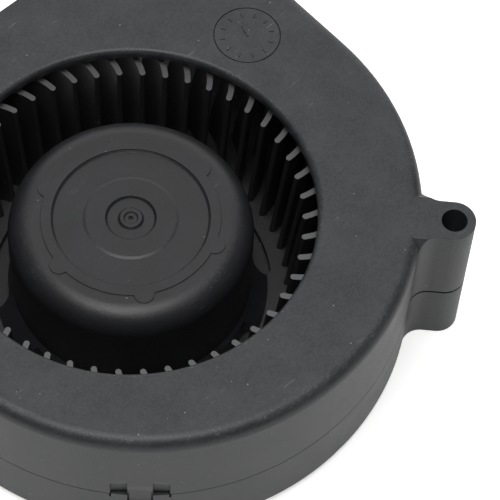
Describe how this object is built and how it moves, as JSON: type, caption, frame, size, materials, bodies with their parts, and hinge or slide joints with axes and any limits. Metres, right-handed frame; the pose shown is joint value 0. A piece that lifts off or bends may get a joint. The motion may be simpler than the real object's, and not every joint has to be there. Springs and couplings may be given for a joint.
{
  "type": "dc blower fan",
  "caption": "Single-inlet centrifugal blower: clipped plastic scroll housing with two screw ears, forward-curved wheel on an external-rotor motor with ball bearings.",
  "frame": {"origin": "on the rotor axis, in the plane of the housing's base", "axes": "+Z along the rotor axis, out of the air inlet; +Y out of the air outlet"},
  "size_m": [0.0966, 0.0948, 0.033],
  "materials": {
    "housing_plastic": "moulded glass-filled PBT, satin black",
    "wheel_plastic": "moulded PBT, satin black",
    "white_plastic": "moulded nylon",
    "steel": "ground bearing steel",
    "zinc_steel": "zinc-plated deep-drawn steel",
    "lamination": "stacked silicon steel",
    "brass": "turned brass",
    "magnet": "bonded ferrite",
    "copper": "enamelled copper winding",
    "board": "FR4 with green solder mask",
    "chip_plastic": "moulded epoxy",
    "ceramic": "ceramic"
  },
  "bodies": {
    "housing": {"upper_housing": "housing_plastic", "lower_housing": "housing_plastic", "bottom_cap": "housing_plastic", "bearing_tube": "brass", "bearing_spacer": "white_plastic", "stator_core": "lamination", "upper_insulator": "white_plastic", "lower_insulator": "white_plastic", "stator_coils": "copper", "winding_pins": "brass", "circuit_board": "board", "driver_chip": "chip_plastic", "hall_sensor": "chip_plastic", "chip_capacitors": "ceramic", "chip_resistors": "chip_plastic", "upper_bearing_outer_ring": "steel", "upper_bearing_shields": "steel", "lower_bearing_outer_ring": "steel", "lower_bearing_shields": "steel"},
    "rotor": {"impeller": "wheel_plastic", "rotor_yoke": "zinc_steel", "rotor_magnet": "magnet", "shaft_boss": "brass", "shaft": "steel", "retaining_clip": "white_plastic", "preload_washer": "steel", "upper_bearing_inner_ring": "steel", "lower_bearing_inner_ring": "steel"},
    "upper_cage": {"upper_bearing_balls": "steel", "upper_bearing_cage": "white_plastic"},
    "lower_cage": {"lower_bearing_balls": "steel", "lower_bearing_cage": "white_plastic"}
  },
  "joints": [
    {"name": "rotor_spin", "type": "hinge", "parent": "housing", "child": "rotor", "pos_m": [0, 0, 0.015], "axis": [0, 0, 1], "continuous": true},
    {"name": "upper_cage_orbit", "type": "hinge", "parent": "housing", "child": "upper_cage", "pos_m": [0, 0, 0.0195], "axis": [0, 0, 1], "continuous": true},
    {"name": "lower_cage_orbit", "type": "hinge", "parent": "housing", "child": "lower_cage", "pos_m": [0, 0, 0.0046], "axis": [0, 0, 1], "continuous": true}
  ],
  "couplings": [
    {"joint": "upper_cage_orbit", "follows": "rotor_spin", "ratio": 0.3564},
    {"joint": "lower_cage_orbit", "follows": "rotor_spin", "ratio": 0.3564}
  ]
}
